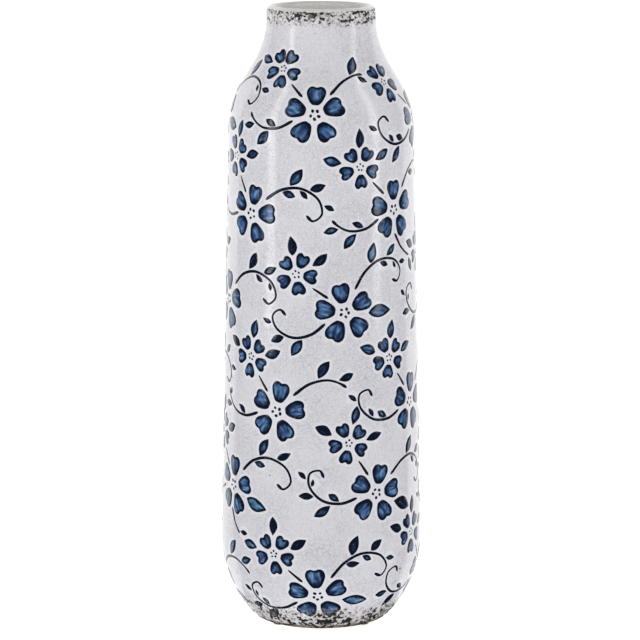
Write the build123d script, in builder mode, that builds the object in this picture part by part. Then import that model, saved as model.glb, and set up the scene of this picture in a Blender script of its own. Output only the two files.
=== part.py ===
"""Tall glazed earthenware vase: fired clay body, glaze coats and the felt pads under its foot.

Millimetres, +Z up, the vase's axis on Z. The origin is at the middle of the base, on the surface that
the vase stands on. Every turned piece is a half section in the XZ plane, revolved about Z.
"""

import os
from math import radians, tan

from build123d import *

# Overall form, measured on the finished outside of the pot.
height = 470.0  # from the table to the top of the lip
foot_radius = 52.0  # where the outside meets the underside of the foot
belly_radius = 77.3  # corner of the widest place, before it is rounded
belly_height = 30.0  # height of that corner above the foot
belly_round = 92.0
shoulder_radius = 69.2  # corner between the side and the shoulder
shoulder_drop = 73.5  # from the top of the lip down to that corner
shoulder_round = 75.0
neck_radius = 40.8
neck_drop = 26.0  # from the top of the lip down to the corner under the neck
neck_round = 70.0
mouth_round = 25.0  # the same corner on the inside of the pot

# Clay, glaze and foot.
wall = 7.0  # clay and both glaze coats together
glaze = 0.7  # thickness of each glaze coat
floor_thickness = 8.0  # from the recess under the foot to the inside of the pot
floor_round = 12.0  # inside corner between the floor and the wall
foot_ring_width = 13.0
foot_recess = 3.0  # depth of the hollow inside the foot ring
foot_edge_round = 1.0
glaze_line = 2.5  # bare clay left above the foot, where the glaze was wiped off

# Felt pads, glued to the foot ring.
pad_count = 4
pad_radius = 5.0
pad_thickness = 1.5

# Places that follow from the sizes above.
foot_height = pad_thickness
recess_height = foot_height + foot_recess
floor_height = recess_height + floor_thickness
lip_round = wall / 2
lip_height = height - lip_round
lip_radius = neck_radius - lip_round  # the middle of the lip
inset_of_middle = wall / 2

outside_corners = [
    Vector(foot_radius, foot_height),
    Vector(belly_radius, foot_height + belly_height),
    Vector(shoulder_radius, height - shoulder_drop),
    Vector(neck_radius, height - neck_drop),
    Vector(neck_radius, height),
]


def crossing(start, along, other_start, other_along):
    """The point where two lines of the section plane meet."""
    turn = along.X * other_along.Y - along.Y * other_along.X
    gap = other_start - start
    return start + along * ((gap.X * other_along.Y - gap.Y * other_along.X) / turn)


def corners_moved_in(inset):
    """The corners of the outside, with every side of it moved towards the axis by inset."""
    level = Vector(1, 0)
    lines = [(Vector(0, foot_height), level)]
    for start, end in zip(outside_corners, outside_corners[1:]):
        along = (end - start).normalized()
        lines.append((start + Vector(-along.Y, along.X) * inset, along))
    lines.append((Vector(0, height), level))
    return [crossing(*line, *following) for line, following in zip(lines, lines[1:])]


def rounding(at, wanted, grows):
    """The wanted rounding of a corner of the outside, or the largest that the sides beside it have room for.

    grows is how much larger the rounding gets for each millimetre that the outside is moved in.
    """
    rooms = [wanted]
    for inset in (0, wall):
        corners = corners_moved_in(inset)
        before = corners[at] - corners[at - 1]
        after = corners[at + 1] - corners[at]
        shorter = min(before.length, after.length)
        rooms.append(0.98 * shorter / tan(radians(before.get_angle(after)) / 2) - grows * inset)
    return min(rooms)


belly_bend = rounding(1, belly_round, -1)
shoulder_bend = rounding(2, shoulder_round, -1)
neck_bend = rounding(3, neck_round, 1)


def outline(inset, under_neck=neck_bend):
    """The half section of a solid pot, from its axis to the outside moved in by inset.

    under_neck is the rounding under the neck before it is moved in.
    """
    corners = corners_moved_in(inset)
    with BuildSketch() as section:
        with BuildLine():
            side = FilletPolyline(
                *corners,
                radius=[belly_bend - inset, shoulder_bend - inset, under_neck + inset],
            )
            Polyline(side @ 1, (0, height), (0, foot_height), side @ 0)
        make_face()
    return section.sketch


def hollow(coat):
    """The half section of the space inside the pot, with coat left on its walls."""
    floor = floor_height - coat
    with BuildSketch() as section:
        add(outline(wall - coat, under_neck=mouth_round - wall))
        with Locations((0, foot_height)):
            Rectangle(
                2 * belly_radius,
                floor - foot_height,
                align=(Align.CENTER, Align.MIN),
                mode=Mode.SUBTRACT,
            )
        floor_corner = section.vertices().group_by(Axis.Y)[0].sort_by(Axis.X)[-1]
        fillet(floor_corner, floor_round + coat)
    return section.sketch


def pot(coat):
    """The half section of the whole pot wall, less a coat of that thickness inside and outside."""
    with BuildSketch() as section:
        add(outline(coat))
        with Locations((0, lip_height)):
            Rectangle(
                2 * belly_radius,
                height,
                align=(Align.CENTER, Align.MIN),
                mode=Mode.SUBTRACT,
            )
        add(hollow(coat), mode=Mode.SUBTRACT)
        with Locations((lip_radius, lip_height)):
            Circle(lip_round - coat)
    return section.sketch


def write(piece, name):
    piece.part.label = name
    export_step(piece.part, f"parts/{name}.step")


os.makedirs("parts", exist_ok=True)

clay_foot_radius = corners_moved_in(glaze)[0].X
ring_inner_radius = clay_foot_radius - foot_ring_width
ring_middle_radius = clay_foot_radius - foot_ring_width / 2

# The fired clay: wall, floor and foot ring, which are one piece of clay.
with BuildPart() as clay_body:
    with BuildSketch(Plane.XZ):
        add(pot(glaze))
    revolve(axis=Axis.Z)
    with BuildSketch(Plane.XY.offset(foot_height)):
        Circle(ring_inner_radius)
    extrude(amount=foot_recess, mode=Mode.SUBTRACT)
    foot_edges = clay_body.edges().filter_by(GeomType.CIRCLE).group_by(Axis.Z)[0]
    fillet(foot_edges, min(foot_edge_round, foot_ring_width / 4))
write(clay_body, "clay_body")

# The outer coat of glaze, from the glaze line above the foot up to the middle of the lip.
with BuildPart() as outer_glaze:
    with BuildSketch(Plane.XZ):
        add(pot(0))
        add(pot(glaze), mode=Mode.SUBTRACT)
        add(outline(inset_of_middle), mode=Mode.SUBTRACT)
        with Locations((0, foot_height)):
            Rectangle(
                2 * belly_radius,
                glaze_line,
                align=(Align.CENTER, Align.MIN),
                mode=Mode.SUBTRACT,
            )
    revolve(axis=Axis.Z)
write(outer_glaze, "outer_glaze")

# The glaze lining, from the middle of the lip down the inside and across the floor.
with BuildPart() as inner_glaze:
    with BuildSketch(Plane.XZ):
        add(pot(0))
        add(pot(glaze), mode=Mode.SUBTRACT)
        add(outline(inset_of_middle), mode=Mode.INTERSECT)
    revolve(axis=Axis.Z)
write(inner_glaze, "inner_glaze")

# Felt pads, spaced evenly round the foot ring, with none of them straight in front.
for number, place in enumerate(PolarLocations(ring_middle_radius, pad_count, 45), start=1):
    with BuildPart() as felt_pad:
        with BuildSketch():
            with Locations(place):
                Circle(pad_radius)
        extrude(amount=pad_thickness)
    write(felt_pad, f"felt_pad_{number}")
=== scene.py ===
"""Tall crackle-glazed earthenware vase, painted with blue flower sprays.

Metres, +Z up, the vase's axis on Z and its base at z = 0. A turn round the wall is an angle in radians,
0 at the front (-Y) and growing to the right. Laid out as an add-on, and run as a script.
"""

import functools
import math
import random
from collections import namedtuple

import bpy
import numpy as np
from bpy.props import FloatProperty, FloatVectorProperty, IntProperty, PointerProperty
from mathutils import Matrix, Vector
from mathutils.kdtree import KDTree


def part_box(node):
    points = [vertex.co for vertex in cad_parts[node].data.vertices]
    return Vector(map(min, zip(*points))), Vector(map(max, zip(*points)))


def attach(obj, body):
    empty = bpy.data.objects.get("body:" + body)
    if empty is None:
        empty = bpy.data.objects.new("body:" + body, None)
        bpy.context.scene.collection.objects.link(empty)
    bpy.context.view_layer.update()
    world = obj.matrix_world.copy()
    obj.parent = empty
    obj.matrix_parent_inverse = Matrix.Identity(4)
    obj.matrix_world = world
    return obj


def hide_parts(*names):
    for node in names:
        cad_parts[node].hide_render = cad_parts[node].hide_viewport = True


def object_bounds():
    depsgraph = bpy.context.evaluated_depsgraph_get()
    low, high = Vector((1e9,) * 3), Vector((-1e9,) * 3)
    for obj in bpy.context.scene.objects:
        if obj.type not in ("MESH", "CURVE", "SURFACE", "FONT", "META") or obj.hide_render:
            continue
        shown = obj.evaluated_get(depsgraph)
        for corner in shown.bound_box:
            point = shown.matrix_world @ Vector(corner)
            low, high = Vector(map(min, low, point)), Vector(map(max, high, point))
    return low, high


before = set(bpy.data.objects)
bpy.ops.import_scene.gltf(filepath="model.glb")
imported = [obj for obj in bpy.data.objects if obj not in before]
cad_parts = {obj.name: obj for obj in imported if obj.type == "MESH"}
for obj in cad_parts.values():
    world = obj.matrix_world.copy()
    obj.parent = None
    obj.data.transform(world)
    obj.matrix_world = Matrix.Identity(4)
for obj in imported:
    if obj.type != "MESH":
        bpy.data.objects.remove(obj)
CAD_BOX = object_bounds()

bl_info = {
    "name": "Crackle Glazed Vase",
    "version": (1, 0, 0),
    "blender": (4, 5, 0),
    "location": "View3D > Sidebar > Vase",
    "description": "Makes a tall crackle-glazed vase with painted blue flower sprays",
    "category": "Add Mesh",
}

MM = 0.001
BODY = "root"
FULL_TURN = 2 * math.pi


def linear(hex_colour):
    """An sRGB colour written as #rrggbb, turned to linear red, green and blue."""
    shares = [int(hex_colour[i : i + 2], 16) / 255 for i in (1, 3, 5)]
    return tuple(c / 12.92 if c <= 0.04045 else ((c + 0.055) / 1.055) ** 2.4 for c in shares)


def a_length(name, description, millimetres):
    return FloatProperty(
        name=name,
        description=description,
        default=millimetres * MM,
        min=0,
        precision=5,
        unit="LENGTH",
    )


def a_colour(name, description, hex_colour):
    return FloatVectorProperty(
        name=name,
        description=description,
        default=linear(hex_colour),
        min=0,
        max=1,
        size=3,
        subtype="COLOR",
    )


# ---------------------------------------------------------------- what a user would change


class VaseForm(bpy.types.PropertyGroup):
    """The turned shape. Height, pad places and pad size come from the frame."""

    foot_radius: a_length("Foot radius", "Outside of the foot, where it stands", 52)
    belly_radius: a_length("Belly radius", "Corner of the widest place, before rounding", 77.3)
    belly_height: a_length("Belly height", "Height of that corner above the foot", 30)
    belly_round: a_length("Belly round", "Rounding of that corner", 92)
    shoulder_radius: a_length("Shoulder radius", "Corner between side and shoulder", 69.2)
    shoulder_drop: a_length("Shoulder drop", "From the top of the lip to that corner", 73.5)
    shoulder_round: a_length("Shoulder round", "Rounding of that corner", 75)
    neck_radius: a_length("Neck radius", "Outside of the neck", 40.8)
    neck_drop: a_length("Neck drop", "From the top of the lip to the corner under the neck", 26)
    neck_round: a_length("Neck round", "Rounding under the neck", 70)
    mouth_round: a_length("Mouth round", "The same corner on the inside", 25)
    wall: a_length("Wall", "Clay and both coats of glaze together", 7)
    glaze: a_length("Glaze", "Thickness of a coat of glaze", 0.7)
    floor_thickness: a_length("Floor", "Clay under the inside of the pot", 8)
    floor_round: a_length("Floor round", "Inside corner between floor and wall", 12)
    ring_width: a_length("Foot ring", "Width of the ring that the pot stands on", 13)
    foot_recess: a_length("Recess", "Depth of the hollow inside the foot ring", 3)
    foot_edge: a_length("Foot edge", "Rounding of the foot ring's edges", 1)
    glaze_line: a_length("Glaze line", "Bare clay above the foot, where the glaze was wiped", 2.5)
    unevenness: a_length("Unevenness", "How far the cast wall wanders from true", 0.16)


class VasePainting(bpy.types.PropertyGroup):
    """Sizes of the brushwork and of the crackle."""

    relief: a_length("Relief", "How far a brush stroke stands proud of the glaze", 0.24)
    sunk_edge: a_length("Sunk edge", "How far the stroke's edge sinks into the glaze", 0.05)
    stem_width: a_length("Stem width", "Width of a stem where it starts", 2.9)
    halo: a_length("Halo", "Cleaner glaze round a stroke", 2.6)
    clearance: a_length("Clearance", "Between a leaf, vine or flower and its neighbours", 1.2)
    top_margin: a_length("Top margin", "Unpainted stretch under the lip", 13)
    crackle_cell: a_length("Crackle", "Width of a cell of the crackle", 2.3)
    crackle_line: a_length("Crackle line", "Width of a crack, wider than life so that it shows", 0.34)
    seed: IntProperty(name="Seed", description="Start of the hand's small variations", default=7)


class VaseColours(bpy.types.PropertyGroup):
    """Colours of the glaze, the paint, the wear and the clay."""

    glaze: a_colour("Glaze", "Milky glaze over pale clay", "#dad9dd")
    glaze_grey: a_colour("Glaze, cooler", "Where the glaze runs thicker", "#cecdd4")
    crack: a_colour("Crack", "Stain in the crackle", "#aba9b0")
    halo: a_colour("Halo", "Clean glaze beside a stroke", "#e7e7ee")
    paint_thin: a_colour("Blue, thin", "Cobalt where the brush ran dry", "#7598b8")
    paint_mid: a_colour("Blue", "Cobalt at its usual strength", "#456794")
    paint_leaf: a_colour("Leaf blue", "The greener blue of the leaves", "#4a7394")
    paint_deep: a_colour("Blue, deep", "Cobalt where it pools", "#25385a")
    paint_ink: a_colour("Outline", "Near-black outline of each stroke", "#0e1728")
    wear_dark: a_colour("Wear, dark", "Dark oxide rubbed into chips of the glaze", "#2b2622")
    wear_brown: a_colour("Wear, brown", "Thinner oxide", "#5d5650")
    wear_tan: a_colour("Wear, tan", "Clay showing in a chip", "#a39a8e")
    lip: a_colour("Lip", "Thin glaze over the lip", "#d3d0cd")
    # The lining's colour is painted lighter than the glaze outside, as painted light that offsets the shade
    # inside the mouth.
    lining_and_light: a_colour("Lining", "Glaze inside the pot", "#f3f0ec")
    clay: a_colour("Clay", "Fired clay of the foot ring", "#b3a392")
    clay_dark: a_colour("Clay, toasted", "Iron spots and toasted edges", "#6e5a4a")
    felt: a_colour("Felt", "Wool felt of the pads", "#4a4743")
    floor: a_colour("Floor", "Paper floor of the studio", "#f2f2f2")


def form():
    return bpy.context.scene.vase_form


def painting():
    return bpy.context.scene.vase_painting


def colours():
    return bpy.context.scene.vase_colours


# ---------------------------------------------------------------- half sections


class Section:
    """A half section as points from its start to its end, with the distance along it and its normals.

    The normals point to the right of the way along it, which is outwards for a wall drawn upwards.
    """

    def __init__(self, points):
        self.r, self.z = np.array(points, float).T
        self.along = np.r_[0, np.cumsum(np.hypot(np.diff(self.r), np.diff(self.z)))]
        slope_r, slope_z = np.gradient(self.r, self.along), np.gradient(self.z, self.along)
        size = np.hypot(slope_r, slope_z)
        self.out_r, self.out_z = slope_z / size, -slope_r / size

    def at(self, along):
        """Radius, height and normal at these distances along the section."""
        parts = (self.r, self.z, self.out_r, self.out_z)
        return [np.interp(along, self.along, part) for part in parts]

    def along_at(self, height):
        return float(np.interp(height, self.z, self.along))

    def moved(self, distance):
        """The section's points moved along their normals."""
        return np.stack([self.r + self.out_r * distance, self.z + self.out_z * distance], 1)


def rounded(corners, roundings, step):
    """Points of a path through corners, each rounded by its own radius, at most step apart."""
    corners = [Vector(c) for c in corners]
    stops = [corners[0]]
    for before, corner, after, radius in zip(corners, corners[1:], corners[2:], roundings):
        arriving, leaving = (corner - before).normalized(), (after - corner).normalized()
        turn = arriving.angle_signed(leaving)
        reach = radius * math.tan(abs(turn) / 2)
        side = math.copysign(1, turn)
        inwards = Vector((arriving.y, -arriving.x)) * side
        middle = corner - arriving * reach + inwards * radius
        pieces = max(3, math.ceil(radius * abs(turn) / min(step, radius / 7)))
        for i in range(pieces + 1):
            angle = turn * i / pieces
            spoke = -inwards * radius
            cos, sin = math.cos(-angle), math.sin(-angle)
            stops.append(middle + Vector((spoke.x * cos - spoke.y * sin, spoke.x * sin + spoke.y * cos)))
    stops.append(corners[-1])
    points = [stops[0]]
    for start, end in zip(stops, stops[1:]):
        pieces = max(1, math.ceil((end - start).length / step))
        points += [start.lerp(end, i / pieces) for i in range(1, pieces + 1)]
    apart = [points[0]] + [q for p, q in zip(points, points[1:]) if (q - p).length > 0.01 * MM]
    return [tuple(p) for p in apart]


def foot_height():
    """Underside of the foot ring, which stands on the felt pads."""
    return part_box("felt_pad_1")[1].z


def height():
    return CAD_BOX[1].z


def wall_corners(inset):
    """The four corners of the wall's outside, moved in by inset, and where it meets the plane of the lip."""
    f = form()
    corners = [
        Vector((f.foot_radius, foot_height())),
        Vector((f.belly_radius, foot_height() + f.belly_height)),
        Vector((f.shoulder_radius, height() - f.shoulder_drop)),
        Vector((f.neck_radius, height() - f.neck_drop)),
        Vector((f.neck_radius, height())),
    ]
    lines = [(Vector((0, foot_height())), Vector((1, 0)))]
    for start, end in zip(corners, corners[1:]):
        way = (end - start).normalized()
        lines.append((start + Vector((-way.y, way.x)) * inset, way))
    lines.append((Vector((0, height())), Vector((1, 0))))
    met = []
    for (start, way), (other, other_way) in zip(lines, lines[1:]):
        gap = other - start
        met.append(start + way * (gap.cross(other_way) / way.cross(other_way)))
    return met


def outside(step=2.0 * MM):
    """The finished outside, from the plane of the foot up to the middle of the lip."""
    f = form()
    lip_middle = Vector((f.neck_radius - f.wall / 2, height()))
    corners = wall_corners(0) + [lip_middle]
    return Section(rounded(corners, (f.belly_round, f.shoulder_round, f.neck_round, f.wall / 2), step))


def inside(coat, step=2.0 * MM):
    """The inside with coat left on it, from the middle of the floor up to the middle of the lip."""
    f = form()
    inset = f.wall - coat
    floor = foot_height() + f.foot_recess + f.floor_thickness - coat
    foot, belly, shoulder, neck, mouth = wall_corners(inset)
    rise = (belly - foot) * ((floor - foot.y) / (belly.y - foot.y))
    roundings = (
        f.floor_round + coat,
        f.belly_round - inset,
        f.shoulder_round - inset,
        f.mouth_round - coat,
        f.wall / 2 - coat,
    )
    top = height() - coat
    corners = [(0.6 * MM, floor), foot + rise, belly, shoulder, neck, (mouth.x, top)]
    corners.append((f.neck_radius - f.wall / 2, top))
    return Section(rounded(corners, roundings, step))


def wander(turn, along):
    """How far the wall is off true there: slow waves of a cast, sponged pot, none at foot and lip."""
    f = form()
    whole = outside_section().along[-1]
    share = np.clip(along / whole, 0, 1)
    waves = (
        np.sin(2 * turn + 0.8 + 3.1 * share)
        + 0.6 * np.sin(3 * turn - 1.9 - 5.3 * share)
        + 0.5 * np.sin(turn + 9.4 * share)
        + 0.3 * np.sin(5 * turn + 14.0 * share)
    )
    return f.unevenness * waves / 2.4 * np.sin(math.pi * share) ** 0.5


def form_sizes():
    f = form()
    return tuple(getattr(f, name) for name in VaseForm.__annotations__)


@functools.lru_cache(maxsize=1)
def section_for(sizes):
    """The outside for these sizes of the form, kept until one of them changes."""
    return outside()


def outside_section():
    return section_for(form_sizes())


def on_wall(turn, along, lift):
    """Points of the painted wall, lifted off it by lift."""
    r, z, out_r, out_z = outside_section().at(along)
    off = lift + wander(turn, along)
    radius = r + out_r * off
    return np.stack([radius * np.sin(turn), -radius * np.cos(turn), z + out_z * off], -1)


# ---------------------------------------------------------------- meshes


def new_piece(name, points, faces, uvs, material, slot, *nodes):
    """A smooth mesh piece that rides on the vase and stands for CAD nodes.

    uvs has one pair for each face corner.
    """
    mesh = bpy.data.meshes.new(name)
    mesh.from_pydata(points, [], faces)
    mesh.uv_layers.new(name="OFBake").data.foreach_set("uv", np.array(uvs, np.float32).ravel())
    mesh.shade_smooth()
    mesh.materials.append(material)
    if mesh.validate():
        raise RuntimeError(f"{name} has faces that can't be used")
    piece = bpy.data.objects.new(name, mesh)
    bpy.context.scene.collection.objects.link(piece)
    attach(piece, BODY)
    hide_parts(*nodes)
    return piece


def keep_value(piece, name, values):
    """Keeps one number or one vector for each point of the mesh, which its material reads."""
    values = np.array(values, np.float32)
    kind, field = ("FLOAT_VECTOR", "vector") if values.ndim == 2 else ("FLOAT", "value")
    attribute = piece.data.attributes.new(name, kind, "POINT")
    attribute.data.foreach_set(field, values.ravel())


class Turning:
    """A turned mesh, built ring by ring along a closed half section."""

    def __init__(self, segments):
        self.segments = segments
        self.points, self.faces, self.uvs = [], [], []

    def turns(self):
        return np.arange(self.segments) / self.segments * FULL_TURN - math.pi

    def add_ring(self, points):
        self.points += [tuple(p) for p in points]
        return len(self.points) - self.segments

    def join(self, low, high, v_low, v_high):
        """Faces between two rings. low is the ring whose faces look outwards when high is above it."""
        n = self.segments
        for i in range(n):
            j = (i + 1) % n
            self.faces.append((low + i, low + j, high + j, high + i))
            left, right = 0.01 + 0.98 * i / n, 0.01 + 0.98 * (i + 1) / n
            self.uvs += [(left, v_low), (right, v_low), (right, v_high), (left, v_high)]

    def cap(self, ring, middle, spread, centre, outwards):
        """A fan from a ring to a point on the axis, with its own round patch of the UV square."""
        self.points.append(middle)
        tip, n = len(self.points) - 1, self.segments
        for i in range(n):
            j = (i + 1) % n
            angles = [k / n * FULL_TURN for k in (i, i + 1)]
            rim = [(centre[0] + spread * math.cos(a), centre[1] + spread * math.sin(a)) for a in angles]
            face = (ring + i, ring + j, tip)
            corners = [rim[0], rim[1], centre]
            if not outwards:
                face, corners = face[::-1], corners[::-1]
            self.faces.append(face)
            self.uvs += corners

    def finish(self, name, material, slot, node):
        """Makes the piece that stands for that CAD node."""
        return new_piece(name, self.points, self.faces, self.uvs, material, slot, node)


def ring_of(turns, r, z):
    return np.stack([r * np.sin(turns), -r * np.cos(turns), np.full_like(turns, z)], 1)


# ---------------------------------------------------------------- the painted sprays
#
# A spray is drawn flat, in millimetres, with u to the right, v up and the middle of its large flower at
# (0, 0). It is a plain scroll: a flower with a smaller one beside it, and vines that end in a curl.

PETALS = 5
# u and v of its middle, distance of a petal from there, a petal's length and width, the depth of its notch as
# a share of the length, and the turn of the first petal in degrees.
Flower = namedtuple("Flower", "u v inner length width notch first_turn")
FLOWERS = (Flower(0, 0, 7, 15.5, 15, 0.06, 90), Flower(-30, 35, 5.2, 11, 11.2, 0.12, 126))
# Points from the flower outwards, how many leaves it carries, and the length of the first of them.
Vine = namedtuple("Vine", "points leaves first_length")
VINES = (
    Vine(((11, 15), (22, 26), (36, 31), (50, 27), (56, 17), (51, 10), (45, 13)), 6, 18),
    Vine(((-16, -5), (-28, -11), (-42, -11), (-53, -3), (-55, 7), (-48, 11), (-44, 6)), 6, 17),
    Vine(((0, -18), (8, -30), (21, -38), (35, -35), (41, -26), (36, -20)), 5, 16),
    Vine(((-10, 13), (-15, 18), (-20, 23)), 0, 0),
)
VINE_POINTS = 60
LEAF_LEAN = math.radians(42)
LEAF_WIDTH = 0.46  # of its length
# Length of a leaf inside a vine's bend, as a share of one outside it.
INSIDE_BEND = 0.62
LEAF_GAP = 2.4  # from the middle of a vine to the base of its leaf
# Base u, v, tip u, v, and width of the broad leaves beside the flowers.
BROAD_LEAVES = (
    (18, -5, 39, -9, 9),
    (-44, 39, -58, 43, 7),
    (-30, 49, -29, 64, 7),
    (-17, 39, -4, 46, 6.5),
)
# The sprays stand in rows round the vase, each row turned on from the one under it.
ROWS = 6
SPRAYS_IN_ROW = 4
FIRST_ROW = 36  # height of the lowest row's large flowers
ROW_RISE = 71
ROW_TURN = 0.382  # as a share of the turn from one spray of a row to the next
# How far chance moves a spray at most: its turn and tilt in degrees, and its height.
OFF_TURN, OFF_HEIGHT, OFF_TILT = 6, 5, 15
# Half outline of a petal, from its inner end outwards: share of its width, share of its length.
PETAL_SIDE = ((0.0, 0.0), (0.17, 0.02), (0.33, 0.2), (0.47, 0.5), (0.5, 0.72), (0.4, 0.93), (0.2, 1.0))


def smooth_line(points, count, closed=False):
    """count points spaced evenly along a Catmull-Rom curve through these ones."""
    points = np.array(points, float)
    if closed:
        padded = np.vstack([points[-1:], points, points[:2]])
    else:
        padded = np.vstack([2 * points[0] - points[1], points, 2 * points[-1] - points[-2]])
    share = np.linspace(0, 1, 12, endpoint=False)[:, None]
    pieces = []
    for a, b, c, d in zip(padded, padded[1:], padded[2:], padded[3:]):
        square, cube = 2 * a - 5 * b + 4 * c - d, 3 * b - a - 3 * c + d
        pieces.append(0.5 * (2 * b + (c - a) * share + square * share**2 + cube * share**3))
    fine = np.vstack(pieces + [padded[-2:-1]])
    walked = np.r_[0, np.cumsum(np.linalg.norm(np.diff(fine, axis=0), axis=1))]
    stops = np.linspace(0, walked[-1], count, endpoint=not closed)
    return np.stack([np.interp(stops, walked, fine[:, k]) for k in (0, 1)], 1)


def soft_step(low, high, value):
    share = np.clip((value - low) / (high - low), 0, 1)
    return share * share * (3 - 2 * share)


def flat_petal(flower, turn, hand):
    """One petal: its outline, its middle, the axes of its strokes, and how thick the blue lies on it."""
    angle = math.radians(turn + hand.uniform(-3, 3))
    way = np.array([math.cos(angle), math.sin(angle)])
    across = np.array([way[1], -way[0]])
    length, width = flower.length * hand.uniform(0.95, 1.04), flower.width * hand.uniform(0.94, 1.05)
    lean = hand.uniform(-0.05, 0.05)
    half = [np.array(p) for p in PETAL_SIDE]
    outline = half + [np.array((0.0, 1.0 - flower.notch))] + [p * (-1, 1) for p in half[:0:-1]]
    start = np.array([flower.u, flower.v]) + way * flower.inner
    flat = [start + way * (y + lean * x) * length + across * x * width for x, y in outline]
    shade_side, strength = hand.choice((-1, 1)), hand.uniform(0.2, 1.0)

    def pool(x, y):
        inner_end = 1 - soft_step(0.05, 0.42, y / length)
        one_side = soft_step(0.05, 0.45, shade_side * x / width)
        return inner_end + strength * one_side

    return {
        "kind": "petal",
        "outline": smooth_line(flat, 36, closed=True),
        "middle": start + way * length * 0.55,
        "start": start,
        "way": way,
        "across": across,
        "pool": pool,
        "tone": hand.random(),
    }


def vine_leaves(vine):
    """Leaves that alternate along a vine and shrink towards its end, each with its share of the way along it.

    Those inside the vine's bend have less room and are shorter.
    """
    line = smooth_line(vine.points, VINE_POINTS + 1)
    nearby = 8
    leaves = []
    for k in range(vine.leaves):
        share = 0.18 + 0.6 * k / vine.leaves
        at = round(share * VINE_POINTS)
        on_left = bool(k % 2)
        way = math.atan2(*(line[at + 1] - line[at - 1])[::-1]) + (LEAF_LEAN if on_left else -LEAF_LEAN)
        heading = np.array([math.cos(way), math.sin(way)])
        behind, ahead = line[at] - line[at - nearby], line[at + nearby] - line[at]
        bends_left = behind[0] * ahead[1] > behind[1] * ahead[0]
        length = vine.first_length * (1 - 0.1 * k) * (INSIDE_BEND if bends_left == on_left else 1)
        base = line[at] + LEAF_GAP * heading
        leaves.append(((*base, *(base + length * heading), LEAF_WIDTH * length), share))
    return leaves


def flat_leaf(leaf, hand, room):
    """One leaf with pointed ends, cut short or left out where it would cross the edge of the painted wall."""
    base, tip = np.array(leaf[0:2], float), np.array(leaf[2:4], float)
    tip = base + (tip - base) * room(base, tip)
    length = np.linalg.norm(tip - base)
    if length < 4:
        return None
    width = leaf[4] * min(1, length / 9 + 0.3) * hand.uniform(1.02, 1.2)
    way = (tip - base) / length
    across = np.array([way[1], -way[0]])
    bend = hand.uniform(-0.05, 0.05) * length
    fullest = hand.uniform(0.42, 0.55)
    shares = (1 - np.cos(np.linspace(0, math.pi, 15))) / 2
    swell = np.sin(math.pi * shares ** (math.log(0.5) / math.log(fullest))) ** 0.85
    spine = base + np.outer(shares * length, way) + np.outer(bend * np.sin(math.pi * shares), across)
    right, left = spine + np.outer(swell * width / 2, across), spine - np.outer(swell * width / 2, across)
    outline = np.vstack([right, left[-2:0:-1]])
    solid = hand.choice((0.0, 0.0, 0.1, 0.3, 0.6, 0.9))
    dark_side = hand.choice((-1, 1)) * hand.uniform(0.1, 0.7)

    def pool(x, y):
        ends = soft_step(0.62, 1.0, np.abs(2 * y / length - 1))
        side = np.clip(dark_side * 2 * (x - bend) / width, 0, 1)
        return solid + 0.6 * ends + side

    return {
        "kind": "leaf",
        "outline": outline,
        "middle": base + way * length / 2 + across * bend,
        "start": base,
        "way": way,
        "across": across,
        "pool": pool,
        "tone": hand.random(),
    }


def flat_dot(dot, hand):
    u, v, radius = dot
    radius *= hand.uniform(0.88, 1.12)
    angles = np.linspace(0, FULL_TURN, 12, endpoint=False)
    middle = np.array([u + hand.uniform(-0.3, 0.3), v + hand.uniform(-0.3, 0.3)])
    wobble = radius * (1 + 0.1 * np.sin(2 * angles + hand.uniform(0, 6)))
    outline = middle + np.stack([np.cos(angles) * wobble, np.sin(angles) * wobble], 1)
    return {
        "kind": "dot",
        "outline": outline,
        "middle": middle,
        "start": middle,
        "way": np.array([0.0, 1.0]),
        "across": np.array([1.0, 0.0]),
        "pool": lambda x, y: np.full(np.shape(x), 0.75),
        "tone": hand.random(),
    }


def flat_stem(stem, hand):
    length = sum(math.dist(p, q) for p, q in zip(stem, stem[1:]))
    return {
        "kind": "stem",
        "outline": smooth_line(stem, max(5, math.ceil(length / 1.5))),
        "tone": hand.random(),
        "curls": len(stem) > 3,
    }


class Placing:
    """Where a flat spray lies on the wall."""

    def __init__(self, turn, at_height, tilt):
        self.turn = math.radians(turn)
        self.along = outside_section().along_at(at_height * MM)
        self.radius = outside_section().at(self.along)[0]
        self.cos, self.sin = math.cos(math.radians(tilt)), math.sin(math.radians(tilt))

    def tilted(self, flat):
        u, v = np.moveaxis(np.asarray(flat, float), -1, 0)
        return (u * self.cos - v * self.sin) * MM, (u * self.sin + v * self.cos) * MM

    def lay(self, flat, middle=None):
        """Turns and distances along the wall of flat points. A stroke with a middle keeps its shape there."""
        u, v = self.tilted(flat)
        along = self.along + v
        if middle is None:
            return self.turn + u / self.mean_radius(along), along
        middle_u, middle_v = self.tilted(middle)
        radius = outside_section().at(self.along + middle_v)[0]
        to_middle = middle_u / self.mean_radius(self.along + middle_v)
        return self.turn + to_middle + (u - middle_u) / radius, along

    def mean_radius(self, along):
        """Midway between the wall's radius there and at the large flower, so that a spray narrows gently."""
        return (outside_section().at(along)[0] + self.radius) / 2

    def room(self, low, high):
        """A function that gives the share of a leaf, from its base, that stays between two distances."""

        def share(base, tip):
            (_, start), (_, end) = self.tilted(base), self.tilted(tip)
            start, end = self.along + start, self.along + end
            if not low < start < high:
                return 0.0
            limit = low if end < low else high if end > high else None
            return 1.0 if limit is None else 0.92 * (limit - start) / (end - start)

        return share


def flat_flower(flower, hand):
    """The petals of a flower, and a ring of stamens between them."""
    strokes = []
    reach = 0.45 * flower.inner
    for k in range(PETALS):
        turn = flower.first_turn + 360 * k / PETALS
        strokes.append(flat_petal(flower, turn, hand))
        spoke = math.radians(turn + 180 / PETALS)
        dot = (flower.u + reach * math.cos(spoke), flower.v + reach * math.sin(spoke), 0.19 * flower.inner)
        strokes.append(flat_dot(dot, hand))
    return strokes


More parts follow.
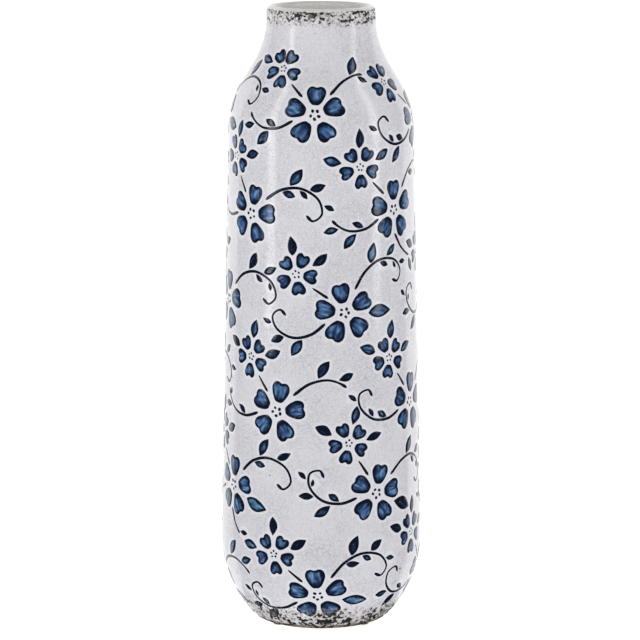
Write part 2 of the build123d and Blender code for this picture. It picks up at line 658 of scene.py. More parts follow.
def flat_foliage(hand, room):
    """The vines, their leaves and the broad leaves. Each vine comes before its leaves."""
    strokes = []
    for number, vine in enumerate(VINES):
        strokes.append(flat_stem(vine.points, hand) | {"vine": number})
        for leaf, share in vine_leaves(vine):
            drawn = flat_leaf(leaf, hand, room)
            strokes += [drawn | {"vine": number, "share": share}] if drawn else []
    drawn = [flat_leaf(leaf, hand, room) for leaf in BROAD_LEAVES]
    return strokes + [leaf for leaf in drawn if leaf]


def spray_places(hand):
    """Turn, height and tilt of each spray: even rows that a hand has put a little off."""
    places = []
    for row in range(ROWS):
        for k in range(SPRAYS_IN_ROW):
            turn = 360 * (k + ROW_TURN * row) / SPRAYS_IN_ROW + hand.uniform(-OFF_TURN, OFF_TURN)
            level = FIRST_ROW + ROW_RISE * row + hand.uniform(-OFF_HEIGHT, OFF_HEIGHT)
            places.append((turn, level, hand.uniform(-OFF_TILT, OFF_TILT)))
    return places


def painted_strokes():
    """Every stroke on the vase, and a tree of their outlines' points.

    What would leave the painted wall or run into another stroke is cut short or left out.
    """
    p = painting()
    return strokes_for(p.seed, p.clearance, p.top_margin, form_sizes())


def tree_of(strokes):
    tree = KDTree(sum(len(stroke["laid"]) for stroke in strokes))
    for i, point in enumerate(q for stroke in strokes for q in stroke["laid"]):
        tree.insert(point, i)
    tree.balance()
    return tree


@functools.lru_cache(maxsize=1)
def strokes_for(seed, clearance, top_margin, sizes):
    """The same, worked out once for each set of sizes, which are the form's."""
    hand = random.Random(seed)
    section = section_for(sizes)
    low = section.along_at(foot_height() + form().glaze_line) + 0.8 * MM
    high = section.along_at(height() - top_margin)
    placings = [Placing(*place) for place in spray_places(hand)]

    def lay(stroke, placing, others):
        """Lays a stroke, and gives the number of its points before the first that has no room."""
        turns, along = placing.lay(stroke["outline"], stroke.get("middle"))
        points = on_wall(turns, along, 0.0)
        stroke.update(placing=placing, laid=points)
        for i, (point, walked) in enumerate(zip(points, along)):
            if not low < walked < high or any(tree.find(point)[2] < clearance for tree in others):
                return i
        return len(points)

    # All the flowers come first, and a flower that loses more than three strokes in ten is left out.
    painted, trees = [], []
    for placing in placings:
        here = []
        for flower in FLOWERS:
            drawn = flat_flower(flower, hand)
            free = [stroke for stroke in drawn if lay(stroke, placing, trees) == len(stroke["outline"])]
            here += free if len(free) > 0.7 * len(drawn) else []
        painted += here
        if here:
            trees.append(tree_of(here))
    for placing in placings:
        here, reached = [], {}
        for stroke in flat_foliage(hand, placing.room(low, high)):
            count = len(stroke["outline"])
            own = [tree_of(here)] if here else []
            free = lay(stroke, placing, trees + own)
            if stroke["kind"] == "stem":
                # A vine that meets something ends before it, and its leaves end with it.
                reached[stroke["vine"]] = free / count
                kept = free if free == count else free - 3
                if kept < max(6, 0.3 * count):
                    reached[stroke["vine"]] = 0
                    continue
                stroke["outline"], stroke["laid"] = stroke["outline"][:kept], stroke["laid"][:kept]
            elif free < count or stroke.get("share", 0) > reached.get(stroke.get("vine"), 1) - 0.1:
                continue
            here.append(stroke)
        painted += here
        if here:
            trees.append(tree_of(here))
    return painted, tree_of(painted)


class Brushwork:
    """Gathers the strokes of one kind into a single mesh, each with its own cell of the UV square."""

    def __init__(self, count):
        self.across_cells = math.ceil(math.sqrt(count))
        self.points, self.faces, self.uvs = [], [], []
        self.edge, self.pool, self.stroke = [], [], []
        self.used = 0

    def next_cell(self):
        """Corner and size of the next free cell."""
        size = 1 / self.across_cells
        row, column = divmod(self.used, self.across_cells)
        self.used += 1
        return column * size, row * size, size

    def add_points(self, points, edge, pool, stroke):
        first = len(self.points)
        self.points += [tuple(p) for p in points]
        self.edge += list(edge)
        self.pool += list(pool)
        self.stroke += [tuple(s) for s in stroke]
        return first

    def add_blob(self, stroke, shares):
        """A domed stroke: rings of its outline drawn in towards its middle, with a shallow cone under it."""
        p = painting()
        outline, middle = stroke["outline"], stroke["middle"]
        n = len(outline)
        flat = np.vstack([middle + (outline - middle) * share for share in shares] + [middle[None]])
        steps = (np.roll(outline, -1, 0) - outline)[:, None, :]
        walk = outline[:, None, :] + steps * np.linspace(0, 1, 4)[:3, None]
        edge = np.linalg.norm(flat[:, None, :] - walk.reshape(-1, 2)[None], axis=2).min(1)
        edge[:n] = 0
        x, y = (flat - stroke["start"]) @ stroke["across"], (flat - stroke["start"]) @ stroke["way"]
        relief = p.relief * (0.75 + 0.5 * stroke["tone"])
        rise = 1 - (1 - np.clip(edge / 1.4, 0, 1)) ** 2
        lift = -p.sunk_edge + (relief + p.sunk_edge) * rise
        turns, along = stroke["placing"].lay(flat, middle)
        first = self.add_points(
            on_wall(turns, along, lift),
            edge,
            np.clip(stroke["pool"](x, y), 0, 1.5),
            np.stack([x, y, np.full_like(x, 37 * stroke["tone"])], 1),
        )
        under = self.add_points(
            on_wall(turns[-1:], along[-1:], -3 * p.sunk_edge), [0.0], [1.0], [(0, 0, 37 * stroke["tone"])]
        )
        left, bottom, size = self.next_cell()
        reach = np.abs(flat - middle).max() or 1

        def top_uv(i):
            place = (flat[i] - middle) / reach
            return left + size * (0.39 + 0.36 * place[0]), bottom + size * (0.39 + 0.36 * place[1])

        def under_uv(i):
            place = (outline[i] - middle) / reach
            return left + size * (0.88 + 0.08 * place[0]), bottom + size * (0.88 + 0.08 * place[1])

        for ring in range(len(shares) - 1):
            for i in range(n):
                j = (i + 1) % n
                corners = (ring * n + i, ring * n + j, (ring + 1) * n + j, (ring + 1) * n + i)
                self.faces.append(tuple(first + c for c in corners))
                self.uvs += [top_uv(c) for c in corners]
        last, tip = (len(shares) - 1) * n, len(shares) * n
        for i in range(n):
            j = (i + 1) % n
            self.faces.append((first + last + i, first + last + j, first + tip))
            self.uvs += [top_uv(last + i), top_uv(last + j), top_uv(tip)]
            self.faces.append((first + j, first + i, under))
            self.uvs += [under_uv(j), under_uv(i), (left + size * 0.88, bottom + size * 0.88)]

    def add_line(self, stroke):
        """A stem: a low ridge with a rounded top along its path, tapering to a soft end."""
        p = painting()
        turns, along = stroke["placing"].lay(stroke["outline"])
        count = len(turns)
        share = np.linspace(0, 1, count)
        width = p.stem_width * (1 - 0.42 * share)
        if stroke["curls"]:
            width += 0.45 * p.stem_width * np.exp(-(((share - 0.97) * count / 2.2) ** 2))
        width *= np.clip(0.35 + np.minimum(share, 1 - share) * count / 2.0, 0, 1)
        radius = outside_section().at(along)[0]
        run = np.stack([np.gradient(turns) * radius, np.gradient(along)], 1)
        run /= np.linalg.norm(run, axis=1)[:, None]
        relief = p.relief * (0.55 + 0.3 * stroke["tone"])
        shoulder = 0.7 * relief
        profile = ((-0.5, -p.sunk_edge), (-0.3, shoulder), (0, relief), (0.3, shoulder), (0.5, -p.sunk_edge))
        rows = []
        for side, lift in profile:
            sideways = width * side
            rows.append(on_wall(turns + run[:, 1] * sideways / radius, along - run[:, 0] * sideways, lift))
        walked = share * np.linalg.norm(np.diff(stroke["outline"], axis=0), axis=1).sum()
        firsts = []
        for (side, _), points in zip(profile, rows):
            edge = (0.5 - abs(side)) * width / MM
            marks = np.stack([width / MM * side, walked, np.full(count, 37 * stroke["tone"])], 1)
            firsts.append(self.add_points(points, edge, 0.75 - 0.25 * share, marks))
        left, bottom, size = self.next_cell()
        strips = len(profile)

        def uv(i, strip):
            across, up = i / (count - 1), strip / strips
            return left + size * (0.04 + 0.92 * across), bottom + size * (0.04 + 0.84 * up)

        for strip in range(strips):
            a, b = firsts[strip], firsts[(strip + 1) % strips]
            for i in range(count - 1):
                self.faces.append((a + i, b + i, b + i + 1, a + i + 1))
                self.uvs += [uv(i, strip), uv(i, strip + 1), uv(i + 1, strip + 1), uv(i + 1, strip)]
        for end, corner in ((0, 0.05), (count - 1, 0.55)):
            ring = [f + end for f in firsts]
            centre = (left + size * (corner + 0.2), bottom + size * 0.93)
            reach = 0.04 * size
            angles = np.linspace(0, FULL_TURN, strips, endpoint=False)
            cap = [(centre[0] + reach * math.cos(a), centre[1] + reach * math.sin(a)) for a in angles]
            if end == 0:
                ring = ring[::-1]
            self.faces.append(tuple(ring))
            self.uvs += cap

    def finish(self, name, material):
        piece = new_piece(name, self.points, self.faces, self.uvs, material, "outer_glaze", "outer_glaze")
        keep_value(piece, "edge_mm", self.edge)
        keep_value(piece, "pool", self.pool)
        keep_value(piece, "stroke_mm", self.stroke)
        return piece


# ---------------------------------------------------------------- finishes

SMOOTH = {"interpolation_type": "SMOOTHSTEP"}
TINTS = {"data_type": "RGBA"}
ADD = {"operation": "ADD"}
SUBTRACT = {"operation": "SUBTRACT"}
MULTIPLY = {"operation": "MULTIPLY"}
LARGER = {"operation": "MAXIMUM"}
SCALE_AND_SHIFT = {"operation": "MULTIPLY_ADD"}
TO_EDGE = {"feature": "DISTANCE_TO_EDGE"}
# Sockets of a colour mix, by place: the upper colour's share, the lower and the upper colour, the result.
AMOUNT, LOWER, UPPER, MIXED = 0, 6, 7, 2
GLAZE_IOR = 1.5


def add_node(tree, kind, settings=(), inputs=(), output=0, stops=()):
    """Adds a node with its settings and links, and gives back one of its outputs.

    inputs are numbers, colours or other nodes' outputs, in order or by name. stops are a ramp's places and
    colours.
    """
    node = tree.nodes.new(kind)
    for name, value in dict(settings).items():
        setattr(node, name, value)
    for name, value in inputs.items() if isinstance(inputs, dict) else enumerate(inputs):
        socket = node.inputs[name]
        if isinstance(value, bpy.types.NodeSocket):
            tree.links.new(value, socket)
        else:
            socket.default_value = (*value, 1) if socket.type == "RGBA" else value
    for i, (place, colour) in enumerate(stops):
        stop = node.color_ramp.elements[i] if i < 2 else node.color_ramp.elements.new(place)
        stop.position, stop.color = place, (*colour, 1)
    return node.outputs[output] if node.outputs else None


def new_finish(name):
    """An empty material, and what adds a node to it."""
    material = bpy.data.materials.new(name)
    material.use_nodes = True
    material.node_tree.nodes.clear()
    return material, functools.partial(add_node, material.node_tree)


def per_metre(size):
    """Scale of a noise whose features are that large."""
    return 1 / size


def worn_edges(add, where):
    """Dark oxide rubbed into the chipped lip and foot: how much of it there is, its colour, and the level.

    Chips crowd in a band at the lip and another at the foot, and thin out to single specks.
    """
    c = colours()
    top, foot = height(), foot_height()
    level = add("ShaderNodeSeparateXYZ", {}, (where,), "Z")
    at_lip = add("ShaderNodeMapRange", SMOOTH, (level, top - 21 * MM, top - 7 * MM))
    over_lip = add("ShaderNodeMapRange", SMOOTH, (level, top - 2.4 * MM, top - 0.9 * MM, 1, 0))
    at_lip = add("ShaderNodeMath", MULTIPLY, (at_lip, over_lip))
    at_foot = add("ShaderNodeMapRange", SMOOTH, (level, foot + 9 * MM, foot + 31 * MM, 1.08, 0))
    amount = add("ShaderNodeMath", LARGER, (at_lip, at_foot))
    # Chips are about 3 mm wide: lower than wide at the lip, and a little higher than wide at the foot.
    squeeze = add("ShaderNodeMapRange", SMOOTH, (level, foot + 40 * MM, top - 40 * MM, 0.8, 1.35))
    squeezed = add("ShaderNodeMath", MULTIPLY, (level, squeeze))
    around = add("ShaderNodeVectorMath", MULTIPLY, (where, (1, 1, 0)))
    raised = add("ShaderNodeCombineXYZ", {}, {"Z": squeezed})
    flattened = add("ShaderNodeVectorMath", ADD, (around, raised))
    patches = add("ShaderNodeTexNoise", {}, {"Vector": where, "Scale": per_metre(17 * MM), "Detail": 1.0})
    chips = add(
        "ShaderNodeTexNoise",
        {},
        {"Vector": flattened, "Scale": per_metre(2.8 * MM), "Detail": 1.0, "Distortion": 0.4},
    )
    specks = add("ShaderNodeTexNoise", {}, {"Vector": where, "Scale": per_metre(1.8 * MM), "Detail": 1.0})
    bias = add("ShaderNodeMath", SCALE_AND_SHIFT, (patches, 0.4, -0.2))
    ragged = add("ShaderNodeMath", ADD, (chips, bias))
    limit = add("ShaderNodeMapRange", SMOOTH, (amount, 0, 1.15, 0.84, 0.485))
    over = add("ShaderNodeMath", SUBTRACT, (ragged, limit))
    chipped = add("ShaderNodeMapRange", SMOOTH, (over, -0.005, 0.055))
    speck_limit = add("ShaderNodeMapRange", SMOOTH, (amount, 0, 1, 0.83, 0.535))
    speck_over = add("ShaderNodeMath", SUBTRACT, (specks, speck_limit))
    specked = add("ShaderNodeMapRange", SMOOTH, (speck_over, 0, 0.07, 0, 0.9))
    # Round the chips the glaze is rubbed thin, and the clay tints it.
    rubbed = add("ShaderNodeMapRange", SMOOTH, (over, -0.13, 0, 0, 0.32))
    broken = add("ShaderNodeMath", LARGER, (chipped, specked))
    worn = add("ShaderNodeMath", LARGER, (broken, rubbed))
    depth = add("ShaderNodeMapRange", SMOOTH, (over, -0.02, 0.18))
    shade = add("ShaderNodeMath", SCALE_AND_SHIFT, (specks, 0.4, depth))
    tint = add(
        "ShaderNodeValToRGB",
        {},
        (shade,),
        stops=((0.2, c.wear_tan), (0.9, c.wear_dark), (0.48, c.wear_brown)),
    )
    return worn, tint, level


def crackle(add, where):
    """Fine cracks of a glaze that shrank more than its clay: strength of the line, 0 to 1.

    Real cracks are hairlines; they are drawn a third of a millimetre wide so that they show.
    """
    p = painting()
    warp = add(
        "ShaderNodeTexNoise", {}, {"Vector": where, "Scale": per_metre(6 * MM), "Detail": 2.0}, "Color"
    )
    shift = add("ShaderNodeVectorMath", {"operation": "SCALE"}, {0: warp, "Scale": 1.6 * MM})
    bent = add("ShaderNodeVectorMath", ADD, (where, shift))
    line = 0.0
    for cell, strength in ((p.crackle_cell, 0.9), (2.2 * p.crackle_cell, 1.0)):
        from_edge = add(
            "ShaderNodeTexVoronoi", TO_EDGE, {"Vector": bent, "Scale": per_metre(cell), "Randomness": 1.0}
        )
        here = add("ShaderNodeMapRange", SMOOTH, (from_edge, 0, p.crackle_line / 2 / cell, strength, 0))
        line = add("ShaderNodeMath", LARGER, (here, line))
    return line


def crackle_glazed_earthenware():
    """Milky tin-white glaze, brushed on and fired: glossy, softly mottled, with a stained crackle."""
    c = colours()
    material, add = new_finish("crackle_glazed_earthenware")
    where = add("ShaderNodeTexCoord", output="Object")
    halo = add("ShaderNodeAttribute", {"attribute_name": "beside_paint"}, output="Fac")
    slow = add("ShaderNodeTexNoise", {}, {"Vector": where, "Scale": per_metre(38 * MM), "Detail": 3.0})
    grain = add("ShaderNodeTexNoise", {}, {"Vector": where, "Scale": per_metre(1.6 * MM), "Detail": 2.0})
    cool = add("ShaderNodeMapRange", SMOOTH, (slow, 0.3, 0.7, 0.1, 0.6))
    ground = add("ShaderNodeMix", TINTS, {AMOUNT: cool, LOWER: c.glaze, UPPER: c.glaze_grey}, MIXED)
    grainy = add("ShaderNodeMapRange", SMOOTH, (grain, 0.35, 0.75, 0, 0.7))
    ground = add("ShaderNodeMix", TINTS, {AMOUNT: grainy, LOWER: ground, UPPER: c.glaze_grey}, MIXED)
    # Beside a stroke the glaze is thicker, so it is whiter and hides most of the crackle.
    clean = add("ShaderNodeMapRange", SMOOTH, (halo, 0.1, 0.9, 0, 0.4))
    ground = add("ShaderNodeMix", TINTS, {AMOUNT: clean, LOWER: ground, UPPER: c.halo}, MIXED)
    stained = add("ShaderNodeMapRange", SMOOTH, (slow, 0.35, 0.6, 0.4, 0.85))
    hidden = add("ShaderNodeMapRange", SMOOTH, (halo, 0, 0.8, 1, 0.25))
    lines = add("ShaderNodeMath", MULTIPLY, (crackle(add, where), stained))
    lines = add("ShaderNodeMath", MULTIPLY, (lines, hidden))
    ground = add("ShaderNodeMix", TINTS, {AMOUNT: lines, LOWER: ground, UPPER: c.crack}, MIXED)
    worn, tint, level = worn_edges(add, where)
    on_lip = add("ShaderNodeMapRange", SMOOTH, (level, height() - 2.8 * MM, height() - 1.2 * MM))
    ground = add("ShaderNodeMix", TINTS, {AMOUNT: on_lip, LOWER: ground, UPPER: c.lip}, MIXED)
    surface = add("ShaderNodeMix", TINTS, {AMOUNT: worn, LOWER: ground, UPPER: tint}, MIXED)
    # A clean fired glaze is near 0.1; the cracks and the rubbed chips are dull.
    clean_gloss = add("ShaderNodeMapRange", {}, (lines, 0, 1, 0.1, 0.22))
    worn_gloss = add("ShaderNodeMapRange", {}, (worn, 0, 1, 0, 0.6))
    gloss = add("ShaderNodeMath", LARGER, (clean_gloss, worn_gloss))
    sunk = add("ShaderNodeMath", SCALE_AND_SHIFT, (lines, 0.25, worn))
    ripple = add("ShaderNodeTexNoise", {}, {"Vector": where, "Scale": per_metre(9 * MM), "Detail": 1.0})
    ripple = add("ShaderNodeMath", MULTIPLY, (ripple, 0.9))
    relief = add("ShaderNodeMath", SUBTRACT, (ripple, sunk))
    bump = add("ShaderNodeBump", {}, {"Strength": 0.35, "Distance": 0.12 * MM, "Height": relief})
    shader = add(
        "ShaderNodeBsdfPrincipled",
        {},
        {"Base Color": surface, "Roughness": gloss, "Normal": bump, "IOR": GLAZE_IOR},
    )
    add("ShaderNodeOutputMaterial", {}, (shader,))
    return material


def brushed_under_glaze(name, middle_blue):
    """Cobalt brushed on in strokes and glazed over: near-black where it pools, blue where it ran thin."""
    c = colours()
    material, add = new_finish(name)
    where = add("ShaderNodeTexCoord", output="Object")
    edge = add("ShaderNodeAttribute", {"attribute_name": "edge_mm"}, output="Fac")
    pool = add("ShaderNodeAttribute", {"attribute_name": "pool"}, output="Fac")
    stroke = add("ShaderNodeAttribute", {"attribute_name": "stroke_mm"}, output="Vector")
    # Brush marks: about 2.4 mm apart across the stroke, and three times as long.
    bristles = add("ShaderNodeVectorMath", MULTIPLY, (stroke, (1 / 2.4, 1 / 7.5, 1)))
    marks = add("ShaderNodeTexNoise", {}, {"Vector": bristles, "Scale": 1.0, "Detail": 1.5})
    cloud = add("ShaderNodeTexNoise", {}, {"Vector": stroke, "Scale": 1 / 4.2, "Detail": 1.0})
    # The dark outline is about 2 mm wide, and wavers by a millimetre.
    wavering = add("ShaderNodeMath", SCALE_AND_SHIFT, (cloud, 3.0, -1.5))
    from_edge = add("ShaderNodeMath", ADD, (edge, wavering))
    outline = add("ShaderNodeMapRange", SMOOTH, (from_edge, 0.4, 2.7, 0.95, 0))
    thick = add("ShaderNodeMath", SCALE_AND_SHIFT, (pool, 0.58, outline))
    streaks = add("ShaderNodeMath", SCALE_AND_SHIFT, (marks, 1.4, -0.4))
    thick = add("ShaderNodeMath", ADD, (thick, streaks))
    blue = add(
        "ShaderNodeValToRGB",
        {},
        (thick,),
        stops=((0.0, c.paint_thin), (0.8, c.paint_ink), (0.22, middle_blue), (0.48, c.paint_deep)),
    )
    worn, tint, _ = worn_edges(add, where)
    # The blue keeps to the glaze better than the white does.
    worn = add("ShaderNodeMath", MULTIPLY, (worn, 0.7))
    surface = add("ShaderNodeMix", TINTS, {AMOUNT: worn, LOWER: blue, UPPER: tint}, MIXED)
    gloss = add("ShaderNodeMapRange", {}, (worn, 0, 1, 0.16, 0.6))
    bump = add("ShaderNodeBump", {}, {"Strength": 0.25, "Distance": 0.1 * MM, "Height": marks})
    shader = add(
        "ShaderNodeBsdfPrincipled",
        {},
        {"Base Color": surface, "Roughness": gloss, "Normal": bump, "IOR": GLAZE_IOR},
    )
    add("ShaderNodeOutputMaterial", {}, (shader,))
    return material


def lining_glaze():
    """The same glaze poured round the inside: warmer and barely crackled, duller where it pooled. Its colour
    is painted lighter than the glaze outside, as painted light that offsets the shade deep in the mouth.
    """
    c = colours()
    material, add = new_finish("lining_glaze")
    where = add("ShaderNodeTexCoord", output="Object")
    slow = add("ShaderNodeTexNoise", {}, {"Vector": where, "Scale": per_metre(24 * MM), "Detail": 4.0})
    level = add("ShaderNodeSeparateXYZ", {}, (where,), "Z")
    cool = add("ShaderNodeMapRange", SMOOTH, (slow, 0.3, 0.7, 0, 0.3))
    # The lining colour carries painted light: it is lighter than the outer glaze, to offset the shade inside
    # the mouth.
    ground = add("ShaderNodeMix", TINTS, {AMOUNT: cool, LOWER: c.lining_and_light, UPPER: c.glaze_grey}, MIXED)
    on_lip = add("ShaderNodeMapRange", SMOOTH, (level, height() - 3 * MM, height() - 1 * MM))
    ground = add("ShaderNodeMix", TINTS, {AMOUNT: on_lip, LOWER: ground, UPPER: c.lip}, MIXED)
    lines = add("ShaderNodeMath", MULTIPLY, (crackle(add, where), 0.3))
    surface = add("ShaderNodeMix", TINTS, {AMOUNT: lines, LOWER: ground, UPPER: c.crack}, MIXED)
    gloss = add("ShaderNodeMapRange", SMOOTH, (slow, 0.3, 0.7, 0.18, 0.3))
    bump = add("ShaderNodeBump", {}, {"Strength": 0.3, "Distance": 0.15 * MM, "Height": slow})
    shader = add(
        "ShaderNodeBsdfPrincipled",
        {},
        {"Base Color": surface, "Roughness": gloss, "Normal": bump, "IOR": GLAZE_IOR},
    )
    add("ShaderNodeOutputMaterial", {}, (shader,))
    return material


def fired_clay():
    """Slip-cast buff earthenware, bare and sponged at the foot: matt and sandy, toasted in patches."""
    c = colours()
    material, add = new_finish("fired_clay")
    where = add("ShaderNodeTexCoord", output="Object")
    cloud = add("ShaderNodeTexNoise", {}, {"Vector": where, "Scale": per_metre(14 * MM), "Detail": 4.0})
    grit = add("ShaderNodeTexNoise", {}, {"Vector": where, "Scale": per_metre(0.9 * MM), "Detail": 2.0})
    iron = add("ShaderNodeTexVoronoi", {}, {"Vector": where, "Scale": per_metre(4 * MM), "Randomness": 1.0})
    toasted = add("ShaderNodeMapRange", SMOOTH, (cloud, 0.42, 0.75, 0, 0.55))
    ground = add("ShaderNodeMix", TINTS, {AMOUNT: toasted, LOWER: c.clay, UPPER: c.clay_dark}, MIXED)
    spots = add("ShaderNodeMapRange", SMOOTH, (iron, 0.05, 0.14, 0.8, 0))
    ground = add("ShaderNodeMix", TINTS, {AMOUNT: spots, LOWER: ground, UPPER: c.clay_dark}, MIXED)
    sandy = add("ShaderNodeMapRange", SMOOTH, (grit, 0.5, 0.8, 0, 0.25))
    ground = add("ShaderNodeMix", TINTS, {AMOUNT: sandy, LOWER: ground, UPPER: c.wear_tan}, MIXED)
    worn, tint, level = worn_edges(add, where)
    # A brown stain darkens the outside of the foot and stops at its underside: partly oxide wiped round the
    # foot, partly painted shade where the pot meets the floor.
    low = foot_height()
    wiped = add("ShaderNodeMapRange", SMOOTH, (level, low - 0.1 * MM, low + 0.4 * MM, 0, 0.95))
    stained = add("ShaderNodeMath", MULTIPLY, (wiped, 0.8))
    surface = add("ShaderNodeMix", TINTS, {AMOUNT: stained, LOWER: ground, UPPER: c.wear_brown}, MIXED)
    worn = add("ShaderNodeMath", MULTIPLY, (worn, wiped))
    surface = add("ShaderNodeMix", TINTS, {AMOUNT: worn, LOWER: surface, UPPER: tint}, MIXED)
    bump = add("ShaderNodeBump", {}, {"Strength": 0.6, "Distance": 0.25 * MM, "Height": grit})
    shader = add("ShaderNodeBsdfPrincipled", {}, {"Base Color": surface, "Roughness": 0.82, "Normal": bump})
    add("ShaderNodeOutputMaterial", {}, (shader,))
    return material


def wool_felt():
    """Pressed wool felt: matt, a little fuzzy at grazing light, with fibres that lie every way."""
    c = colours()
    material, add = new_finish("wool_felt")
    where = add("ShaderNodeTexCoord", output="Object")
    fibres = add(
        "ShaderNodeTexNoise",
        {},
        {"Vector": where, "Scale": per_metre(0.6 * MM), "Detail": 4.0, "Distortion": 2.0},
    )
    shaded = add("ShaderNodeMapRange", SMOOTH, (fibres, 0.3, 0.7))
    dark = tuple(0.45 * share for share in c.felt)
    surface = add("ShaderNodeMix", TINTS, {AMOUNT: shaded, LOWER: c.felt, UPPER: dark}, MIXED)
    bump = add("ShaderNodeBump", {}, {"Strength": 0.7, "Distance": 0.3 * MM, "Height": fibres})
    shader = add(
        "ShaderNodeBsdfPrincipled",
        {},
        {
            "Base Color": surface,
            "Roughness": 0.95,
            "Normal": bump,
            "Sheen Weight": 0.4,
            "Sheen Roughness": 0.5,
        },
    )
    add("ShaderNodeOutputMaterial", {}, (shader,))
    return material


def glowing_paper(name, colour, glow):
    """Matt studio paper, lit from behind by glow."""
    material, add = new_finish(name)
    shader = add(
        "ShaderNodeBsdfPrincipled",
        {},
        {
            "Base Color": colour,
            "Roughness": 0.9,
            "Specular IOR Level": 0.0,
            "Emission Color": (1, 1, 1),
            "Emission Strength": glow,
        },
    )
    add("ShaderNodeOutputMaterial", {}, (shader,))
    return material


# ---------------------------------------------------------------- the pieces


class VASE_OT_clay_body(bpy.types.Operator):
    """Cast the fired clay: wall, floor and foot ring"""

    bl_idname = "vase.clay_body"
    bl_label = "Clay body"

    def execute(self, context):
        f = form()
        turning = Turning(192)
        turns = turning.turns()
        low = foot_height()
        clay_foot = wall_corners(f.glaze)[0].x
        ring_inner = clay_foot - f.ring_width
        recess = low + f.foot_recess
        edge = f.foot_edge
        foot = rounded(
            [(0.6 * MM, recess), (ring_inner, recess), (ring_inner, low), (clay_foot, low)],
            (0.4 * MM, edge),
            2.5 * MM,
        )
        outer = outside(6 * MM).moved(-f.glaze)
        outer = [p for p in outer if p[1] > low + 1.6 * edge]
        inner = inside(f.glaze, 6 * MM)
        inner = list(zip(inner.r, inner.z))[::-1]
        corner = rounded([foot[-2], (clay_foot, low), outer[0]], (edge,), 2.5 * MM)
        path = foot[:-2] + corner + outer[1:] + inner[1:]
        walked = [0.0]
        for point, following in zip(path, path[1:]):
            walked.append(walked[-1] + math.dist(point, following))
        rings = [turning.add_ring(ring_of(turns, r, z)) for r, z in path]
        shares = [0.02 + 0.8 * w / walked[-1] for w in walked]
        for a, b, v_a, v_b in zip(rings, rings[1:], shares, shares[1:]):
            turning.join(a, b, v_a, v_b)
        turning.cap(rings[0], (0, 0, recess), 0.05, (0.2, 0.92), outwards=False)
        turning.cap(rings[-1], (0, 0, path[-1][1]), 0.05, (0.6, 0.92), outwards=True)
        turning.finish("clay_body", fired_clay(), "fired_clay", "clay_body")
        return {"FINISHED"}


class VASE_OT_outer_glaze(bpy.types.Operator):
    """Glaze the outside, from the glaze line above the foot up to the middle of the lip"""

    bl_idname = "vase.outer_glaze"
    bl_label = "Outer glaze"

    def execute(self, context):
        f, p = form(), painting()
        low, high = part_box("outer_glaze")
        section = outside_section()
        if abs(section.r.max() - high.x) > 0.3 * MM or abs(section.z.max() - high.z) > 0.1 * MM:
            raise RuntimeError("the form's sizes aren't those of the frame's outer_glaze")
        turning = Turning(300)
        turns = turning.turns()
        start = section.along_at(low.z)
        stops = np.r_[start + 0.25 * MM, section.along[section.along > start + 0.6 * MM]]
        # The glaze was wiped back from the foot by hand, so its thick edge wanders a little.
        wiped = 0.35 * MM * (np.sin(3 * turns + 1) + 0.6 * np.sin(7 * turns) + 0.4 * np.sin(17 * turns + 2))
        rings, shares = [], []
        end = section.along[-1]
        back = np.r_[section.along_at(height() - 2 * MM), np.arange(end - 9 * MM, start, -9 * MM), start]
        for stop in stops:
            fade = math.exp(-(stop - start) / (1.5 * MM))
            along = stop + np.abs(wiped) * fade
            rings.append(turning.add_ring(on_wall(turns, along, -0.25 * MM * fade)))
            shares.append(0.06 + 0.93 * (stop - start) / (end - start))
        for stop in back:
            along = np.full_like(turns, stop)
            rings.append(turning.add_ring(on_wall(turns, along, -f.glaze)))
            shares.append(0.01 + 0.04 * (stop - start) / (end - start))
        over_lip = len(stops) - 1
        for k in range(len(rings) - 1):
            low_v, high_v = (0.993, 0.999) if k == over_lip else (shares[k], shares[k + 1])
            turning.join(rings[k], rings[k + 1], low_v, high_v)
        turning.join(rings[-1], rings[0], 0.052, 0.058)
        piece = turning.finish("outer_glaze", crackle_glazed_earthenware(), "outer_glaze", "outer_glaze")
        _, outlines = painted_strokes()
        near = [outlines.find(point)[2] for point in turning.points]
        to_paint = np.where(strokes_cover(turning.points), 0, np.array(near))
        keep_value(piece, "beside_paint", 1 - soft_step(0.3 * p.halo, p.halo, to_paint))
        return {"FINISHED"}


def strokes_cover(points):
    """Whether each point lies within 5 mm of a petal's or leaf's middle, and so far from any outline."""
    painted, _ = painted_strokes()
    broad = [s for s in painted if s["kind"] in ("petal", "leaf")]
    tree = KDTree(len(broad))
    for i, stroke in enumerate(broad):
        turns, along = stroke["placing"].lay(stroke["middle"][None], stroke["middle"])
        tree.insert(on_wall(turns, along, 0.0)[0], i)
    tree.balance()
    return np.array([tree.find(point)[2] < 5 * MM for point in points])


class VASE_OT_inner_glaze(bpy.types.Operator):
    """Line the inside with glaze, from the middle of the lip down the wall and across the floor"""

    bl_idname = "vase.inner_glaze"
    bl_label = "Inner glaze"

    def execute(self, context):
        f = form()
        turning = Turning(160)
        turns = turning.turns()
        face = inside(0.0, 4 * MM)
        back = inside(f.glaze, 9 * MM)
        seen = list(zip(face.r, face.z))
        hidden = list(zip(back.r, back.z))
        whole = face.along[-1]
        rings = [turning.add_ring(ring_of(turns, r, z)) for r, z in seen]
        shares = [0.08 + 0.8 * a / whole for a in face.along]
        for a, b, v_a, v_b in zip(rings, rings[1:], shares, shares[1:]):
            turning.join(b, a, v_b, v_a)
        under = [turning.add_ring(ring_of(turns, r, z)) for r, z in hidden]
        depths = [0.01 + 0.05 * a / back.along[-1] for a in back.along]
        for a, b, v_a, v_b in zip(under, under[1:], depths, depths[1:]):
            turning.join(a, b, v_a, v_b)
        turning.join(under[-1], rings[-1], 0.881, 0.885)
        turning.cap(rings[0], (0, 0, seen[0][1]), 0.04, (0.2, 0.94), outwards=True)
        turning.cap(under[0], (0, 0, hidden[0][1]), 0.04, (0.6, 0.94), outwards=False)
        turning.finish("inner_glaze", lining_glaze(), "inner_glaze", "inner_glaze")
        return {"FINISHED"}


